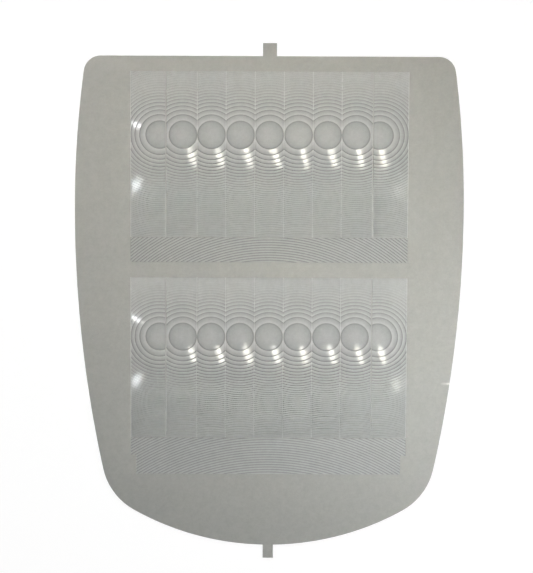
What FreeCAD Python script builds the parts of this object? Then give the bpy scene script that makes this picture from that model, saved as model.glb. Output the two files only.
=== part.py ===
import FreeCAD, Part
import math
import os

# The lens sheet of a passive infrared motion sensor, moulded in one piece from milky polyethylene.
# It lies flat, with its smooth outer face down and its grooved inner face up. The origin is the
# middle of the sheet's box on the smooth face. X runs along the rows of lenses, Y towards the
# straight top edge and Z out of the grooved face. All lengths are in millimetres.

# Outline of the sheet, which is the same left and right of X = 0
body_width = 77.9
body_height = 99.0
widest_drop = 31.1  # from the top edge down to the widest place
upper_side_radius = 212.0  # the side above the widest place
lower_side_radius = 249.0  # the side below it
bottom_radius = 55.4
top_corner_radius = 3.4
lower_corner_radius = 12.7
sheet_thickness = 0.6
edge_bevel = 0.1  # round the grooved face

# Locating tabs, in the middle of the top and bottom edges
top_tab_width = 2.8
top_tab_height = 2.6
bottom_tab_width = 2.1
bottom_tab_height = 2.7

# Rows of lenses, which are the same in both arrays
lens_steps = (5.8, 5.8, 5.7, 4.65)  # from each lens to the next one out, starting at X = 0
end_cell_width = 7.1
array_width = 55.6
cell_land = 0.12  # plain line between two neighbouring cells

# Places of the two arrays, from the top edge downwards
top_margin = 3.0
upper_cell_rise = 12.7  # lens row to the top of its cells
lower_cell_rise = 12.0
cell_fall = 20.55  # lens row to the foot of its cells
upper_strip_height = 5.05
array_gap = 3.1
lower_strip_height = 7.5
lower_strip_shoulder = 3.6  # the full width ends this far below the cells
lower_strip_inset = 1.1

# Optics: the surface of a lens falls away from its middle. It is brought back to the crest height by
# an upright step each time it has fallen by the groove depth, which makes the edge of a ring.
refractive_index = 1.53
focal_length = 28.3
groove_depth = 0.277
centre_drop = 0.043  # the middle of a lens lies this far below the crests
crest_recess = 0.03  # the crests lie this far below the plain face
# The real rings are too fine to cut them all. Steps are cut on the edges of ring first_step and of each
# later ring that lies at least step_pitch further out, with one straight facet from step to step.
first_step = 2
step_pitch = 3.2

# Arched grooves of the strips, about a centre on X = 0 below the lens row
upper_arch_drop = 57.9
lower_arch_drop = 70.1
arch_pitch = 0.51
arches_per_step = 4  # one facet spans this many real arches

# Height by which a cutting solid stands out of the sheet
cutter_rise = 0.1

total_height = top_tab_height + body_height + bottom_tab_height
top_edge_y = total_height / 2 - top_tab_height
bottom_y = top_edge_y - body_height
upper_row_y = top_edge_y - top_margin - upper_cell_rise
upper_strip_foot_y = upper_row_y - cell_fall - upper_strip_height
lower_row_y = upper_strip_foot_y - array_gap - lower_cell_rise
crest_z = sheet_thickness - crest_recess
valley_z = crest_z - groove_depth
cap_z = crest_z - (centre_drop + groove_depth) / 2


def point(x, y, z=0.0):
    return FreeCAD.Vector(x, y, z)


def circle_point(centre, radius, angle):
    return point(centre.x + radius * math.cos(angle), centre.y + radius * math.sin(angle), centre.z)


def arc(centre, radius, start, end):
    middle = circle_point(centre, radius, (start + end) / 2)
    ends = [circle_point(centre, radius, angle) for angle in (start, end)]
    return Part.Arc(ends[0], middle, ends[1]).toShape()


def direction(start, end):
    return math.atan2(end.y - start.y, end.x - start.x)


def lower_meeting_point(first, first_radius, second, second_radius):
    """The lower of the two points where two circles cross."""
    gap = second.sub(first)
    along = (first_radius ** 2 - second_radius ** 2 + gap.Length ** 2) / (2 * gap.Length)
    across = math.sqrt(first_radius ** 2 - along ** 2)
    gap.normalize()
    foot = first.add(gap * along)
    normal = point(-gap.y, gap.x) * across
    return min(foot.add(normal), foot.sub(normal), key=lambda place: place.y)


def right_side():
    """Outline from the top tab down the right side to the bottom tab, and its mirror partner."""
    widest_y = top_edge_y - widest_drop
    upper = point(body_width / 2 - upper_side_radius, widest_y)
    lower = point(body_width / 2 - lower_side_radius, widest_y)
    bottom = point(0, bottom_y + bottom_radius)
    reach = upper_side_radius - top_corner_radius
    rise = top_edge_y - top_corner_radius - widest_y
    corner = point(upper.x + math.sqrt(reach ** 2 - rise ** 2), widest_y + rise)
    heel = lower_meeting_point(
        lower, lower_side_radius - lower_corner_radius, bottom, bottom_radius - lower_corner_radius
    )
    shoulder_angle = direction(upper, corner)
    flank_angle = direction(lower, heel)
    heel_angle = direction(bottom, heel)
    tab_angle = -math.acos(bottom_tab_width / 2 / bottom_radius)
    return [
        Part.makeLine(point(top_tab_width / 2, top_edge_y), point(corner.x, top_edge_y)),
        arc(corner, top_corner_radius, math.pi / 2, shoulder_angle),
        arc(upper, upper_side_radius, shoulder_angle, 0),
        arc(lower, lower_side_radius, 0, flank_angle),
        arc(heel, lower_corner_radius, flank_angle, heel_angle),
        arc(bottom, bottom_radius, heel_angle, tab_angle),
    ]


def tab_outline(width, root_y, end_y):
    """The three free edges of a tab, from its right root round to its left root."""
    side = width / 2
    corners = [point(side, root_y), point(side, end_y), point(-side, end_y), point(-side, root_y)]
    return Part.makePolygon(corners).Edges


def sheet_blank():
    """The plain sheet with its tabs, bevelled all round the face that will be grooved."""
    right = right_side()
    left = [edge.mirror(point(0, 0), point(1, 0)) for edge in right]
    root_y = bottom_y + bottom_radius - math.sqrt(bottom_radius ** 2 - (bottom_tab_width / 2) ** 2)
    tabs = tab_outline(top_tab_width, top_edge_y, top_edge_y + top_tab_height)
    tabs += tab_outline(bottom_tab_width, root_y, bottom_y - bottom_tab_height)
    outline = Part.Wire(Part.sortEdges(right + left + tabs)[0])
    blank = Part.Face(outline).extrude(point(0, 0, sheet_thickness))
    rim = [edge for edge in blank.Edges if edge.BoundBox.ZMin > sheet_thickness / 2]
    return blank.makeChamfer(edge_bevel, rim)


def surface_fall(radius):
    """Height that the unbroken lens surface loses from its middle out to a radius."""
    cosine = math.cos(math.atan(radius / focal_length))
    reach = (1 / cosine - 1) / refractive_index
    bend = math.log(cosine * (refractive_index - 1) / (refractive_index - cosine))
    return focal_length * (reach - bend / refractive_index ** 2)


def ring_edge(number):
    """Radius at which the surface has fallen by this many groove depths."""
    level = number * groove_depth - centre_drop
    inner, outer = 0.0, focal_length
    while surface_fall(outer) < level:
        outer *= 2
    while outer - inner > 1e-6:
        middle = (inner + outer) / 2
        if surface_fall(middle) < level:
            inner = middle
        else:
            outer = middle
    return outer


def step_radii(limit):
    """Radii of the steps that are cut, from the middle of a lens out to a limit."""
    radii = []
    number = first_step
    while ring_edge(number) < limit:
        if not radii or ring_edge(number) >= radii[-1] + step_pitch:
            radii.append(ring_edge(number))
        number += 1
    return radii


def sawtooth_cutter(start_z, radii, limit):
    """Turned solid above a level middle, and above facets that fall outwards from step to step."""
    top_z = sheet_thickness + cutter_rise
    profile = [point(0, 0, top_z), point(0, 0, start_z), point(radii[0], 0, start_z)]
    for near, far in zip(radii, radii[1:] + [limit]):
        profile.append(point(near, 0, crest_z))
        profile.append(point(far, 0, valley_z))
    profile.append(point(limit, 0, top_z))
    profile.append(profile[0])
    return Part.Face(Part.makePolygon(profile)).revolve(point(0, 0), point(0, 0, 1), 360)


def box_between(left, right, foot_y, head_y):
    """Block over a rectangle of the face, half a cell land inside each of its sides."""
    land = cell_land / 2
    size = (right - left - cell_land, head_y - foot_y - cell_land, sheet_thickness + cutter_rise)
    return Part.makeBox(*size, point(left + land, foot_y + land, 0))


def lens_places():
    """X of each lens and of the left and right border of its cell, from the middle outwards."""
    centres = [0.0]
    for step in lens_steps:
        centres.append(centres[-1] + step)
    borders = [(near + far) / 2 for near, far in zip(centres, centres[1:])]
    borders[-1] = array_width / 2 - end_cell_width
    borders.append(array_width / 2)
    places = [(0.0, -borders[0], borders[0])]
    for centre, near, far in zip(centres[1:], borders, borders[1:]):
        places.append((centre, near, far))
        places.append((-centre, -far, -near))
    return places


def cell_cutters(row_y, rise):
    """The grooves of the nine cells of a row. The cap in each middle is level, at its mean height."""
    reach = max(cell_fall, rise)
    rings = sawtooth_cutter(cap_z, step_radii(reach), math.hypot(reach, end_cell_width))
    cutters = []
    for centre, left, right in lens_places():
        cell = box_between(left, right, row_y - cell_fall, row_y + rise)
        cutters.append(rings.translated(point(centre, row_y)).common(cell))
    return cutters


def strip_area(head_y, height, inset=0.0):
    """Block over a strip of the array's width, drawn in by an inset at each end."""
    half = array_width / 2 - inset
    return box_between(-half, half, head_y - height, head_y)


def strip_cutter(area, centre_y):
    """Arched grooves over an area, about a centre on X = 0 below it."""
    box = area.BoundBox
    near = box.YMin - centre_y
    far = math.hypot(box.XMax, box.YMax - centre_y)
    pitch = arch_pitch * arches_per_step
    radii = [near + pitch * count for count in range(math.ceil((far - near) / pitch))]
    return sawtooth_cutter(crest_z, radii, far + pitch).translated(point(0, centre_y)).common(area)


def lens_sheet():
    cutters = cell_cutters(upper_row_y, upper_cell_rise) + cell_cutters(lower_row_y, lower_cell_rise)
    upper_strip = strip_area(upper_row_y - cell_fall, upper_strip_height)
    cutters.append(strip_cutter(upper_strip, upper_row_y - upper_arch_drop))
    full_part = strip_area(lower_row_y - cell_fall, lower_strip_shoulder)
    drawn_in_part = strip_area(lower_row_y - cell_fall, lower_strip_height, lower_strip_inset)
    lower_strip = full_part.fuse(drawn_in_part).removeSplitter()
    cutters.append(strip_cutter(lower_strip, lower_row_y - lower_arch_drop))
    return sheet_blank().cut(cutters)


os.makedirs("parts", exist_ok=True)
sheet = lens_sheet()
solid = sheet.Solids[0]
solid.exportStep("parts/lens_sheet.step")
print("lens_sheet", len(sheet.Solids), sheet.isValid(), round(solid.Volume, 2), solid.BoundBox)
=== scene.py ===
import math

import bpy
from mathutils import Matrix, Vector


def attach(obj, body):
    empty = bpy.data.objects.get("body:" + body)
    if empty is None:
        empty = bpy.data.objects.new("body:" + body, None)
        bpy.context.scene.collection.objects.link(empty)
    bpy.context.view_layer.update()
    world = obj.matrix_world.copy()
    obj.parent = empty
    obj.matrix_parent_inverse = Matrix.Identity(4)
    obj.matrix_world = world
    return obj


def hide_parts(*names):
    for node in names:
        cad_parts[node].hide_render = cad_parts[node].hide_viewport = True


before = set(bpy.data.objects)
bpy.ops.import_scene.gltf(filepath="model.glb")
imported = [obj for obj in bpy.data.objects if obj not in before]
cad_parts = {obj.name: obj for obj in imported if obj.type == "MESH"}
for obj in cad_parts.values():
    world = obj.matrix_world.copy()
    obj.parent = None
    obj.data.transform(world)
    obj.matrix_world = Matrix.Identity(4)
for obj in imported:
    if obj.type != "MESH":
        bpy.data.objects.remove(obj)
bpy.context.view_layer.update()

# The lens sheet of a motion sensor lies on its smooth face, with its grooved face up. It is
# modelled in millimetres, in the same place as the CAD solid, and brought to metres at the end.
# The part's source leaves most rings and arches out, and here all those of the real sheet are cut.
# The values that the source has too are the same here, except centre_drop.

# Outline of the sheet, which is the same left and right of X = 0
body_width = 77.9
body_height = 99.0
widest_drop = 31.1  # from the top edge down to the widest place
upper_side_radius = 212.0  # the side above the widest place
lower_side_radius = 249.0  # the side below it
bottom_radius = 55.4
top_corner_radius = 3.4
lower_corner_radius = 12.7
sheet_thickness = 0.6
edge_bevel = 0.1
bevel_segments = 2
side_arc_step = math.radians(0.6)
bottom_arc_step = 2 * side_arc_step
corner_arc_step = math.radians(6)

# Locating tabs, in the middle of the top and bottom edges
top_tab_width = 2.8
top_tab_height = 2.6
bottom_tab_width = 2.1
bottom_tab_height = 2.7

# Rows of lenses, which are the same in both arrays
lens_steps = (5.8, 5.8, 5.7, 4.65)  # from each lens to the next one out, starting at X = 0
end_cell_width = 7.1
array_width = 55.6
border_ridge = 0.1  # half the width of the raised line where two cells meet
field_land = 0.05  # plain line between two grooved fields that don't match where they meet
wall_lean = 0.05  # the walls round a field lean outwards by this much

# Places of the two arrays, from the top edge downwards
top_margin = 3.0
upper_cell_rise = 12.7  # lens row to the top of its cells
lower_cell_rise = 12.0
cell_fall = 20.55  # lens row to the foot of its cells
upper_strip_height = 5.05
array_gap = 3.1
lower_strip_height = 7.5
lower_strip_shoulder = 3.6  # the full width ends this far below the cells
lower_strip_inset = 1.1

# Lens surface. It falls away from its middle, and an upright step brings it back to the crests each
# time it has fallen by the groove depth.
refractive_index = 1.53
focal_length = 28.3
groove_depth = 0.277
centre_drop = 0.02  # the source has 0.043, so its steps lie up to 0.1 mm nearer the middle
crest_recess = 0.03  # the crests lie this far below the plain face
riser_draft = 0.03  # the risers lean by this much, so that the sheet leaves its mould
cap_bands = 5  # the dome of a cap is made of this many bands
edge_halvings = 40  # the search for the radius of a ring halves its range this often
ring_turn_steps = 144

# Arched grooves of the strips, about a centre on X = 0 below the lens row
upper_arch_drop = 57.9
lower_arch_drop = 70.1
arch_pitch = 0.51
arch_turn_step = math.radians(1.2)

top_y = body_height / 2 + (top_tab_height + bottom_tab_height) / 2 - top_tab_height
bottom_y = top_y - body_height
upper_row_y = top_y - top_margin - upper_cell_rise
upper_strip_head_y = upper_row_y - cell_fall
upper_strip_foot_y = upper_strip_head_y - upper_strip_height
lower_row_y = upper_strip_foot_y - array_gap - lower_cell_rise
lower_strip_head_y = lower_row_y - cell_fall
lower_strip_foot_y = lower_strip_head_y - lower_strip_height
crest_z = sheet_thickness - crest_recess
valley_z = crest_z - groove_depth

# Modelling
origin = (0, 0, 0)
same_point = 1e-4  # points nearer than this are one
cut_reach = 1e-5  # a cut takes points nearer than this to lie on it
level_slope = 0.99  # a face is level where its normal rises by more than this
smooth_angle = math.radians(24)
millimetre = 0.001  # in metres

# Tone of the plastic. A level is a tone relative to that of the plain plastic.
darker_plastic = (0.385, 0.390, 0.370, 1)
lighter_plastic = (0.470, 0.475, 0.452, 1)
groove_tint = (0.985, 1.0, 1.04)  # thin plastic is a little less yellow
clear_reach = 6.5  # the painted shade and highlight of the rings shows ring by ring out to here from the middle of a lens
fade_reach = 11.5  # and it melts into an even painted tone beyond this
even_painted_level = 1.31  # painted lighter tone of the rings that melt together
ring_ridge_highlight = 1.7  # painted highlight on the ridges between cells
cap_ridge_highlight = 1.6
full_ridge_highlight_mark = 1.0
end_ridge_highlight_mark = 0.2  # the painted highlight on the two ridges beside the plain line at an end cell is weaker

# Levels of grooved plastic, with painted shade low and a painted highlight high, each with its
# share of the depth, from valley to crest
painted_ring_shade = ((0.0, 0.70), (0.2, 1.0), (0.6, 1.19), (0.9, 1.35), (1.0, 1.65))
painted_cap_shade = ((0.0, 0.74), (0.2, 0.95), (0.5, 1.05), (0.93, 1.15), (1.0, 1.16))
painted_arch_shade = ((0.0, 0.47), (0.25, 0.96), (0.6, 1.16), (0.86, 1.27), (1.0, 1.72))

# Painted highlights where light catches a small nick in the rim, each with its place in X and Y,
# half its length and width, and its strength
nick_highlights = (
    (35.6, -16.22, 1.1, 0.33, 0.38),
    (36.3, -16.22, 0.6, 0.33, 0.85),
)
nick_highlight_tone = (0.9, 0.9, 0.86, 1)
nick_highlight_depth = 0.3  # a painted highlight marks the upper face and not the lower one

# Surroundings and camera, in metres and degrees
white = (1, 1, 1, 1)
paper_tone = (0.8, 0.8, 0.8, 1)
table_size = 8
table_drop = 0.00002  # below the sheet, so that the two faces don't flicker
table_glow = 1.08  # of the table as the camera sees it, and it lights nothing
table_glow_share = 0.85  # the rest of what the camera sees of the table is lit paper
room_light = 0.13
camera_place = (-0.00131, 0.0776, 0.6)
camera_turn = (-7.058, -0.047, 0.254)


# Modelling by hand, one operator at a time

def select_only(piece):
    bpy.ops.object.select_all(action="DESELECT")
    piece.select_set(True)
    bpy.context.view_layer.objects.active = piece


def edit(piece, kind="VERT"):
    select_only(piece)
    bpy.ops.object.mode_set(mode="EDIT")
    bpy.ops.mesh.select_mode(type=kind)


def edit_selected(piece, kind):
    """Opens a piece and keeps what was selected in object mode."""
    select_only(piece)
    modes = [kind == mode for mode in ("VERT", "EDGE", "FACE")]
    bpy.context.tool_settings.mesh_select_mode = modes
    bpy.ops.object.mode_set(mode="EDIT")


def edit_faces(piece, wanted):
    """Opens a piece with only those faces selected for which wanted(face) holds."""
    for face in piece.data.polygons:
        face.select = wanted(face)
    for edge in piece.data.edges:
        edge.select = False
    for corner in piece.data.vertices:
        corner.select = False
    edit_selected(piece, "FACE")


def leave():
    bpy.ops.object.mode_set(mode="OBJECT")


def pick_all():
    bpy.ops.mesh.select_all(action="SELECT")


def pick_open_border():
    bpy.ops.mesh.select_all(action="DESELECT")
    bpy.ops.mesh.select_non_manifold(
        extend=False, use_wire=False, use_boundary=True, use_multi_face=False,
        use_non_contiguous=False, use_verts=False,
    )


def merge_doubles():
    pick_all()
    bpy.ops.mesh.remove_doubles(threshold=same_point)


def move_all(x, y):
    pick_all()
    bpy.ops.transform.translate(value=(x, y, 0))


def cut_all(place, normal, clear_outer=False):
    pick_all()
    bpy.ops.mesh.bisect(
        plane_co=place, plane_no=normal, clear_outer=clear_outer, threshold=cut_reach
    )


def point_piece(name, place):
    """A new piece of one point, open for editing."""
    bpy.ops.object.select_all(action="DESELECT")
    bpy.ops.mesh.primitive_plane_add(size=1, location=place)
    piece = bpy.context.object
    piece.name = name
    bpy.ops.object.transform_apply(location=True, rotation=False, scale=False)
    edit(piece)
    pick_all()
    bpy.ops.mesh.merge(type="CENTER")
    return piece


def draw_by(x, y, z):
    bpy.ops.mesh.extrude_region_move(TRANSFORM_OT_translate={"value": (x, y, z)})


def turn_about(centre, angle, step):
    """Spins what is selected anticlockwise, as seen from above."""
    bpy.ops.mesh.spin(
        steps=math.ceil(abs(angle) / step), angle=angle, center=centre, axis=(0, 0, -1),
        use_auto_merge=False,
    )


def copy_of(piece, name):
    select_only(piece)
    bpy.ops.object.duplicate()
    copied = bpy.context.object
    copied.name = name
    return copied


def mirrored_copy(piece, name):
    """Copy on the left of X = 0."""
    copied = copy_of(piece, name)
    edit(copied)
    pick_all()
    bpy.ops.transform.resize(value=(-1, 1, 1), center_override=origin)
    bpy.ops.mesh.flip_normals()
    leave()
    return copied


def join_pieces(pieces, name):
    select_only(pieces[0])
    for piece in pieces:
        piece.select_set(True)
    bpy.ops.object.join()
    whole = bpy.context.object
    whole.name = name
    return whole


def trim(piece, left, right, foot, head):
    """Keeps what lies in a rectangle."""
    edit(piece)
    for place, outward in (
        ((left, 0, 0), (-1, 0, 0)), ((right, 0, 0), (1, 0, 0)),
        ((0, foot, 0), (0, -1, 0)), ((0, head, 0), (0, 1, 0)),
    ):
        cut_all(place, outward, clear_outer=True)
    leave()


def wall_up(piece, left, right, foot, head):
    """Raises the open border of a grooved field to the sheet's face, leaning outwards a little."""
    edit(piece, "EDGE")
    pick_open_border()
    bpy.ops.mesh.extrude_region_move()
    widen = [
        (far - near + 2 * wall_lean) / (far - near)
        for near, far in ((left, right), (foot, head))
    ]
    middle = ((left + right) / 2, (foot + head) / 2, sheet_thickness)
    bpy.ops.transform.resize(value=(*widen, 0), center_override=middle)
    leave()


# The plain sheet

def direction(start, end):
    return math.atan2(end[1] - start[1], end[0] - start[0])


def heel_centre(side, side_radius, bottom, foot_radius):
    """Centre of the lower corner, where two circles cross, the lower place of the two."""
    gap = Vector(bottom) - Vector(side)
    along = (side_radius ** 2 - foot_radius ** 2 + gap.length ** 2) / (2 * gap.length)
    across = math.sqrt(side_radius ** 2 - along ** 2)
    gap.normalize()
    foot = Vector(side) + gap * along
    normal = Vector((-gap.y, gap.x, 0)) * across
    return tuple(min(foot + normal, foot - normal, key=lambda place: place.y))


def make_blank():
    """The sheet with its tabs and its bevelled rim, open where the grooved face goes."""
    widest_y = top_y - widest_drop
    upper = (body_width / 2 - upper_side_radius, widest_y, 0)
    lower = (body_width / 2 - lower_side_radius, widest_y, 0)
    bottom = (0, bottom_y + bottom_radius, 0)
    reach = upper_side_radius - top_corner_radius
    rise = top_y - top_corner_radius - widest_y
    corner = (upper[0] + math.sqrt(reach ** 2 - rise ** 2), widest_y + rise, 0)
    heel = heel_centre(
        lower, lower_side_radius - lower_corner_radius, bottom, bottom_radius - lower_corner_radius
    )
    shoulder_angle = direction(upper, corner)
    flank_angle = direction(lower, heel)
    heel_angle = direction(bottom, heel)
    tab_angle = -math.acos(bottom_tab_width / 2 / bottom_radius)
    root_y = bottom[1] + bottom_radius * math.sin(tab_angle)

    blank = point_piece("sheet_blank", (0, top_y + top_tab_height, 0))
    draw_by(top_tab_width / 2, 0, 0)
    draw_by(0, -top_tab_height, 0)
    draw_by(corner[0] - top_tab_width / 2, 0, 0)
    turn_about(corner, shoulder_angle - math.pi / 2, corner_arc_step)
    turn_about(upper, -shoulder_angle, side_arc_step)
    turn_about(lower, flank_angle, side_arc_step)
    turn_about(heel, heel_angle - flank_angle, corner_arc_step)
    turn_about(bottom, tab_angle - heel_angle, bottom_arc_step)
    draw_by(0, bottom_y - bottom_tab_height - root_y, 0)
    draw_by(-bottom_tab_width / 2, 0, 0)
    leave()
    mirror = blank.modifiers.new("left_half", "MIRROR")
    mirror.use_clip = True
    mirror.merge_threshold = same_point
    bpy.ops.object.modifier_apply(modifier=mirror.name)

    edit(blank, "EDGE")
    merge_doubles()
    bpy.ops.mesh.edge_face_add()
    draw_by(0, 0, sheet_thickness)
    bpy.ops.mesh.bevel(offset=edge_bevel, segments=bevel_segments, affect="EDGES")
    leave()
    edit_faces(blank, lambda face: (
        abs(face.center.z - sheet_thickness) < same_point and abs(face.normal.z) > level_slope
    ))
    bpy.ops.mesh.delete(type="ONLY_FACE")
    leave()
    return blank


# Grooves

def surface_fall(radius):
    """How far the smooth surface of a lens lies below its middle at a radius."""
    cosine = math.cos(math.atan(radius / focal_length))
    reach = (1 / cosine - 1) / refractive_index
    bend = math.log(cosine * (refractive_index - 1) / (refractive_index - cosine))
    return focal_length * (reach - bend / refractive_index ** 2)


def ring_edge(number):
    """Radius at which the surface comes to its step of this number."""
    level = number * groove_depth - centre_drop
    inner, outer = 0.0, focal_length
    for _ in range(edge_halvings):
        middle = (inner + outer) / 2
        if surface_fall(middle) < level:
            inner = middle
        else:
            outer = middle
    return outer


def ring_edges(limit):
    edges = []
    while not edges or edges[-1] < limit:
        edges.append(ring_edge(len(edges) + 1))
    return edges


def draw_teeth(edges):
    """Draws a riser at each edge and a facet to the next, from the foot of the first riser."""
    for near, far in zip(edges, edges[1:]):
        draw_by(riser_draft, 0, groove_depth)
        draw_by(far - near - riser_draft, 0, -groove_depth)


def mark_points(disc):
    """Stores on each point how far the painted ring shade melts into an even painted tone, and an
    empty mark for the painted ridge highlight.
    """
    marks = disc.data.attributes.new("painted_shade_fade", "FLOAT", "POINT")
    for corner, mark in zip(disc.data.vertices, marks.data):
        share = (math.hypot(corner.co.x, corner.co.y) - clear_reach) / (fade_reach - clear_reach)
        mark.value = min(1.0, max(0.0, share))
    disc.data.attributes.new("ridge", "FLOAT", "POINT")


def assign_cap(disc, radius):
    """Gives the second material to the cap in the middle."""
    edit_faces(disc, lambda face: math.hypot(face.center.x, face.center.y) < radius)
    disc.active_material_index = 1
    bpy.ops.object.material_slot_assign()
    leave()


def make_lens_disc(limit, ringed, capped):
    """One whole lens with its centre on the Z axis: a domed cap and all its rings."""
    edges = ring_edges(limit)
    disc = point_piece("lens_disc", (0, 0, crest_z - centre_drop))
    for band in range(cap_bands):
        near, far = (edges[0] * place / cap_bands for place in (band, band + 1))
        draw_by(far - near, 0, surface_fall(near) - surface_fall(far))
    draw_teeth(edges)
    pick_all()
    turn_about(origin, math.tau, math.tau / ring_turn_steps)
    merge_doubles()
    leave()
    disc.data.materials.append(ringed)
    disc.data.materials.append(capped)
    assign_cap(disc, edges[0])
    mark_points(disc)
    return disc


def lens_places():
    """X of each lens and of its cell's borders, for the middle and the right-hand cells."""
    centres = [0.0]
    for step in lens_steps:
        centres.append(centres[-1] + step)
    borders = [(near + far) / 2 for near, far in zip(centres, centres[1:])]
    borders[-1] = array_width / 2 - end_cell_width
    borders.append(array_width / 2)
    return [(0.0, -borders[0], borders[0])] + list(zip(centres[1:], borders, borders[1:]))


def make_cell(disc, name, place, row_y, rise):
    """The part of a lens that lies between its cell's borders."""
    centre, left, right = place
    cell = copy_of(disc, name)
    edit(cell)
    move_all(centre, row_y)
    leave()
    trim(cell, left, right, row_y - cell_fall + wall_lean, row_y + rise - wall_lean)
    return cell


def raise_border(cell, place_x, inward, mark=full_ridge_highlight_mark):
    """Draws the border of a cell up to the crests, as a fine ridge with a mark for its painted
    highlight.
    """
    edit(cell)
    cut_all((place_x + inward * border_ridge, 0, 0), (1, 0, 0))
    bpy.ops.mesh.select_all(action="DESELECT")
    leave()
    for corner in cell.data.vertices:
        corner.select = abs(corner.co.x - place_x) < same_point
    edit_selected(cell, "VERT")
    bpy.ops.transform.resize(value=(1, 1, 0), center_override=(0, 0, crest_z))
    leave()
    marks = cell.data.attributes["ridge"].data
    for corner in cell.data.vertices:
        if corner.select:
            marks[corner.index].value = mark


def make_row(disc, name, row_y, rise):
    """The seven inner cells, which meet without a step, and the two end cells."""
    foot, head = row_y - cell_fall + wall_lean, row_y + rise - wall_lean
    places = lens_places()
    gap = field_land / 2 + wall_lean
    inner_edge = places[-1][1] - gap
    places[-2] = (places[-2][0], places[-2][1], inner_edge)
    cells = []
    for place in places[:-1]:
        cell = make_cell(disc, name + "_cell", place, row_y, rise)
        raise_border(cell, place[1], 1)
        right_mark = end_ridge_highlight_mark if place[2] == inner_edge else full_ridge_highlight_mark
        raise_border(cell, place[2], -1, right_mark)
        cells.append(cell)
    cells += [mirrored_copy(cell, name + "_left_cell") for cell in cells[1:]]
    inner = join_pieces(cells, name + "_inner_cells")
    edit(inner)
    merge_doubles()
    leave()
    wall_up(inner, -inner_edge, inner_edge, foot, head)
    centre, near, far = places[-1]
    near, far = near + gap, far - wall_lean
    right_end = make_cell(disc, name + "_end_cell", (centre, near, far), row_y, rise)
    raise_border(right_end, near, 1, end_ridge_highlight_mark)
    raise_border(right_end, far, -1)
    wall_up(right_end, near, far, foot, head)
    return [inner, right_end, mirrored_copy(right_end, name + "_left_end_cell")]


def make_strip(name, centre_y, foot_y, head_y, shoulder_y=None):
    """Arched grooves about a centre on X = 0. Below a shoulder the strip is narrower."""
    half = array_width / 2 - wall_lean
    foot, head = foot_y + wall_lean, head_y - field_land - wall_lean
    near = foot_y - centre_y
    far = math.hypot(half, head_y - centre_y)
    count = math.ceil((far - near) / arch_pitch) + 3  # the first lies a pitch below the foot
    edges = [near - arch_pitch + arch_pitch * number for number in range(count)]
    reach = math.asin(half / (near - arch_pitch)) + 2 * arch_turn_step
    strip = point_piece(name, (edges[0] * math.sin(reach), edges[0] * math.cos(reach), valley_z))
    for start, end in zip(edges, edges[1:]):
        facet = end - start - riser_draft
        for length, climb in ((riser_draft, groove_depth), (facet, -groove_depth)):
            draw_by(length * math.sin(reach), length * math.cos(reach), climb)
    pick_all()
    turn_about(origin, 2 * reach, arch_turn_step)
    move_all(0, centre_y)
    leave()
    trim(strip, -half, half, foot, head)
    if shoulder_y is not None:
        cut_corners(strip, half - lower_strip_inset, shoulder_y)
    wall_up(strip, -half, half, foot, head)
    return strip


def cut_corners(strip, half, shoulder_y):
    edit(strip)
    cut_all((half, 0, 0), (1, 0, 0))
    cut_all((-half, 0, 0), (1, 0, 0))
    cut_all((0, shoulder_y, 0), (0, 1, 0))
    leave()
    edit_faces(strip, lambda face: abs(face.center.x) > half and face.center.y < shoulder_y)
    bpy.ops.mesh.delete(type="FACE")
    leave()


# The whole sheet

def make_sheet(plain, ringed, capped, arched):
    blank = make_blank()
    blank.data.materials.append(plain)
    disc = make_lens_disc(math.hypot(cell_fall, end_cell_width), ringed, capped)
    fields = make_row(disc, "upper", upper_row_y, upper_cell_rise)
    fields += make_row(disc, "lower", lower_row_y, lower_cell_rise)
    bpy.data.objects.remove(disc)
    strips = [
        make_strip(
            "upper_strip", upper_row_y - upper_arch_drop, upper_strip_foot_y, upper_strip_head_y
        ),
        make_strip(
            "lower_strip", lower_row_y - lower_arch_drop, lower_strip_foot_y, lower_strip_head_y,
            shoulder_y=lower_strip_head_y - lower_strip_shoulder,
        ),
    ]
    for strip in strips:
        strip.data.materials.append(arched)
    sheet = join_pieces([blank] + fields + strips, "milky_lens_sheet")
    edit(sheet, "EDGE")
    pick_open_border()
    bpy.ops.mesh.fill(use_beauty=False)
    pick_all()
    bpy.ops.mesh.dissolve_degenerate(threshold=same_point)
    bpy.ops.mesh.normals_make_consistent(inside=False)
    bpy.ops.transform.resize(value=(millimetre, millimetre, millimetre), center_override=origin)
    leave()
    bpy.ops.object.shade_smooth_by_angle(angle=smooth_angle)
    return sheet


# Finish

def node(tree, kind, **sockets):
    made = tree.nodes.new(kind)
    for name, value in sockets.items():
        made.inputs[name.replace("_", " ")].default_value = value
    return made


def vector_math(tree, operation, vector, value=None):
    made = tree.nodes.new("ShaderNodeVectorMath")
    made.operation = operation
    tree.links.new(vector, made.inputs[0])
    if value:
        made.inputs[1].default_value = value
    return made


def blend_colours(tree, under, over, share, blend_type="MIX"):
    """Blends two colours by a share. The first is an output, the others an output or a value."""
    blended = tree.nodes.new("ShaderNodeMix")
    blended.data_type = "RGBA"
    blended.blend_type = blend_type
    for name, source in (("A", under), ("B", over), ("Factor", share)):
        if isinstance(source, bpy.types.NodeSocket):
            tree.links.new(source, blended.inputs[name])
        else:
            blended.inputs[name].default_value = source
    return blended.outputs["Result"]


def found_node(tree, kind):
    return next(kept for kept in tree.nodes if kept.type == kind)


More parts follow.
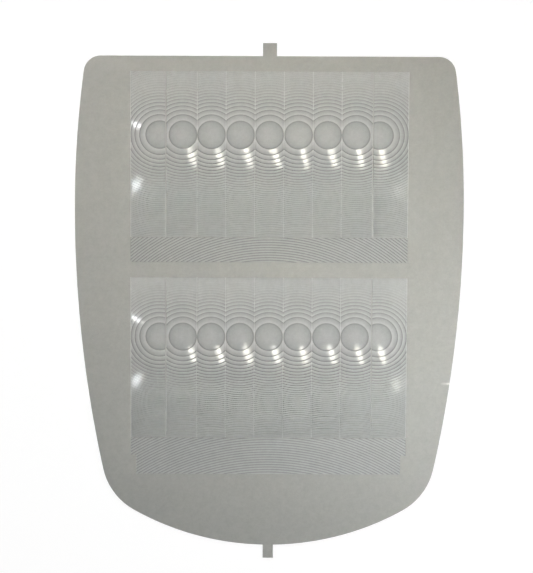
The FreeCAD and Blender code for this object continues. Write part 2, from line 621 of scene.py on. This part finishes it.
def milky_plastic(name, roughness, sheen):
    """Milky polyethylene with a fine grain."""
    material = bpy.data.materials.new(name)
    material.use_nodes = True
    tree = material.node_tree
    shader = tree.nodes["Principled BSDF"]
    shader.inputs["Roughness"].default_value = roughness
    shader.inputs["Specular IOR Level"].default_value = sheen
    shader.inputs["IOR"].default_value = refractive_index
    shader.inputs["Subsurface Weight"].default_value = 0.15
    shader.inputs["Subsurface Radius"].default_value = (1.0, 0.95, 0.85)
    shader.inputs["Subsurface Scale"].default_value = 0.0003
    places = tree.nodes.new("ShaderNodeTexCoord")
    link = tree.links.new

    clouds = node(tree, "ShaderNodeTexNoise", Scale=900.0, Detail=8.0, Roughness=0.85)
    link(places.outputs["Object"], clouds.inputs["Vector"])
    tone = tree.nodes.new("ShaderNodeValToRGB")
    darker, lighter = tone.color_ramp.elements
    darker.position, darker.color = 0.3, darker_plastic
    lighter.position, lighter.color = 0.7, lighter_plastic
    link(clouds.outputs["Fac"], tone.inputs["Fac"])
    link(tone.outputs["Color"], shader.inputs["Base Color"])

    grain = node(tree, "ShaderNodeTexNoise", Scale=2600.0, Detail=3.0, Roughness=0.6)
    link(places.outputs["Object"], grain.inputs["Vector"])
    bump = node(tree, "ShaderNodeBump", Strength=0.45, Distance=0.00002)
    link(grain.outputs["Fac"], bump.inputs["Height"])
    link(bump.outputs["Normal"], shader.inputs["Normal"])
    return material


# Paints the highlight where light catches a small nick in the rim, as a lighter colour
def add_nick_highlights(material):
    tree = material.node_tree
    link = tree.links.new
    places = found_node(tree, "TEX_COORD").outputs["Object"]
    colour = found_node(tree, "VALTORGB").outputs["Color"]
    for x, y, half_length, half_width, strength in nick_highlights:
        place = (x * millimetre, y * millimetre, sheet_thickness * millimetre)
        halves = [1 / (half * millimetre) for half in (half_length, half_width, nick_highlight_depth)]
        offset = vector_math(tree, "SUBTRACT", places, place)
        shape = vector_math(tree, "MULTIPLY", offset.outputs["Vector"], halves)
        reach = vector_math(tree, "LENGTH", shape.outputs["Vector"])
        share = node(
            tree, "ShaderNodeMapRange", From_Min=1.0, From_Max=0.0, To_Min=0.0, To_Max=strength
        )
        link(reach.outputs["Value"], share.inputs["Value"])
        colour = blend_colours(tree, colour, nick_highlight_tone, share.outputs["Result"])
    link(colour, tree.nodes["Principled BSDF"].inputs["Base Color"])
    return material


def shade_of(level):
    red, green, blue = groove_tint
    return (level * red, level * green, level * blue, 1)


def groove_plastic_painted_shade(name, levels, marked_levels=()):
    """The same plastic where it is grooved, with painted shade at a step's foot and a painted
    highlight on the crests, by depth.

    A marked level is the name of a mark on the points, and the level where that mark is full.
    """
    material = milky_plastic(name, roughness=0.16, sheen=0.5)
    tree = material.node_tree
    link = tree.links.new
    axes = tree.nodes.new("ShaderNodeSeparateXYZ")
    link(found_node(tree, "TEX_COORD").outputs["Object"], axes.inputs["Vector"])
    tone = found_node(tree, "VALTORGB").outputs["Color"]
    # Painted shade in the valleys and a painted highlight on the crests, by depth
    depth = tree.nodes.new("ShaderNodeMapRange")
    depth.inputs["From Min"].default_value = valley_z * millimetre
    depth.inputs["From Max"].default_value = crest_z * millimetre
    link(axes.outputs["Z"], depth.inputs["Value"])
    ramp = tree.nodes.new("ShaderNodeValToRGB")
    stops = ramp.color_ramp.elements
    for position, level in levels:
        stops.new(position).color = shade_of(level)
    stops.remove(stops[-1])
    stops.remove(stops[0])
    link(depth.outputs["Result"], ramp.inputs["Fac"])
    shade = ramp.outputs["Color"]
    for mark_name, level in marked_levels:
        mark = tree.nodes.new("ShaderNodeAttribute")
        mark.attribute_name = mark_name
        shade = blend_colours(tree, shade, shade_of(level), mark.outputs["Fac"])
    colour = blend_colours(tree, tone, shade, 1.0, "MULTIPLY")
    link(colour, tree.nodes["Principled BSDF"].inputs["Base Color"])
    return material


def white_table():
    """Paper, which the camera sees white and the light falls on as usual."""
    material = bpy.data.materials.new("white_table")
    material.use_nodes = True
    tree = material.node_tree
    tree.nodes.remove(tree.nodes["Principled BSDF"])
    link = tree.links.new
    paper = node(tree, "ShaderNodeBsdfDiffuse", Color=paper_tone)
    glow = node(tree, "ShaderNodeEmission", Color=white, Strength=table_glow)
    seen = tree.nodes.new("ShaderNodeMixShader")
    seen.inputs["Fac"].default_value = table_glow_share
    link(paper.outputs["BSDF"], seen.inputs[1])
    link(glow.outputs["Emission"], seen.inputs[2])
    path = tree.nodes.new("ShaderNodeLightPath")
    final = tree.nodes.new("ShaderNodeMixShader")
    link(path.outputs["Is Camera Ray"], final.inputs["Fac"])
    link(paper.outputs["BSDF"], final.inputs[1])
    link(seen.outputs["Shader"], final.inputs[2])
    link(final.outputs["Shader"], tree.nodes["Material Output"].inputs["Surface"])
    return material


def set_world():
    """An even room, which the camera sees white."""
    world = bpy.data.worlds.new("studio")
    bpy.context.scene.world = world
    world.use_nodes = True
    tree = world.node_tree
    link = tree.links.new
    room = tree.nodes["Background"]
    room.inputs["Color"].default_value = white
    room.inputs["Strength"].default_value = room_light
    seen = node(tree, "ShaderNodeBackground", Color=white, Strength=1.0)
    path = tree.nodes.new("ShaderNodeLightPath")
    final = tree.nodes.new("ShaderNodeMixShader")
    link(path.outputs["Is Camera Ray"], final.inputs["Fac"])
    link(room.outputs["Background"], final.inputs[1])
    link(seen.outputs["Background"], final.inputs[2])
    link(final.outputs["Shader"], tree.nodes["World Output"].inputs["Surface"])


def lamp(name, place, target, size, power, glints, colour=(1, 1, 1), spread=180):
    """Area light of a width and a length, turned towards a target. It gives glints or tone."""
    light = bpy.data.lights.new(name, "AREA")
    light.shape = "RECTANGLE"
    light.size, light.size_y = size
    light.energy = power
    light.color = colour
    light.spread = math.radians(spread)
    holder = bpy.data.objects.new(name, light)
    bpy.context.scene.collection.objects.link(holder)
    holder.location = place
    facing = (Vector(target) - Vector(place)).to_track_quat("-Z", "Y")
    holder.rotation_euler = facing.to_euler()
    holder.visible_glossy = glints
    holder.visible_diffuse = not glints


def set_camera():
    view = bpy.data.cameras.new("photo_view")
    view.sensor_fit = "VERTICAL"
    view.sensor_height = 36
    view.lens = 188.88
    view.clip_start = 0.01
    holder = bpy.data.objects.new("photo_view", view)
    bpy.context.scene.collection.objects.link(holder)
    holder.location = camera_place
    holder.rotation_euler = [math.radians(angle) for angle in camera_turn]
    bpy.context.scene.camera = holder


bpy.ops.object.select_all(action="DESELECT")
sheet = make_sheet(
    plain=add_nick_highlights(milky_plastic("milky_plastic", roughness=0.58, sheen=0.15)),
    ringed=groove_plastic_painted_shade(
        "milky_rings", painted_ring_shade, (("painted_shade_fade", even_painted_level), ("ridge", ring_ridge_highlight))
    ),
    capped=groove_plastic_painted_shade("milky_caps", painted_cap_shade, (("ridge", cap_ridge_highlight),)),
    arched=groove_plastic_painted_shade("milky_arches", painted_arch_shade),
)
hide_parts("lens_sheet")
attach(sheet, "root")

bpy.ops.mesh.primitive_plane_add(size=table_size, location=(0, 0, -table_drop))
table = bpy.context.object
table.name = "table"
table.data.materials.append(white_table())

set_camera()
set_world()
lamp(
    "upper_left", place=(-0.18, 0.15, 0.25), target=origin, size=(0.1, 0.1), power=0.5,
    glints=False,
)
lamp(
    "near_right", place=(0.10, -0.02, 0.12), target=(0.036, -0.022, 0), size=(0.03, 0.03),
    power=0.034, glints=False, spread=90,
)
lamp(
    "from_above", place=(0.05, 0.15, 0.6), target=(0.0, 0.045, 0), size=(0.05, 0.05),
    power=0.013, glints=False, colour=(1, 0.92, 0.7), spread=18,
)
lamp(
    "tube", place=(0.111, -0.3675, 0.4896), target=origin, size=(0.05, 0.295), power=1.65,
    glints=True, colour=(1, 0.97, 0.86),
)
lamp(
    "side_glint", place=(-0.213, 0.084, 0.237), target=(-0.027, 0.016, 0), size=(0.012, 0.08),
    power=0.28, glints=True,
)
lamp(
    "low_left", place=(-0.43, -0.86, 0.31), target=(-0.027, 0.0, 0), size=(0.10, 0.14),
    power=3.0, glints=True, colour=(0.92, 0.97, 1),
)
lamp(
    "low_right", place=(0.36, -0.89, 0.29), target=(0.027, 0.0, 0), size=(0.10, 0.14),
    power=1.5, glints=True, colour=(1, 0.97, 0.9),
)

bpy.context.scene.view_settings.view_transform = "Standard"
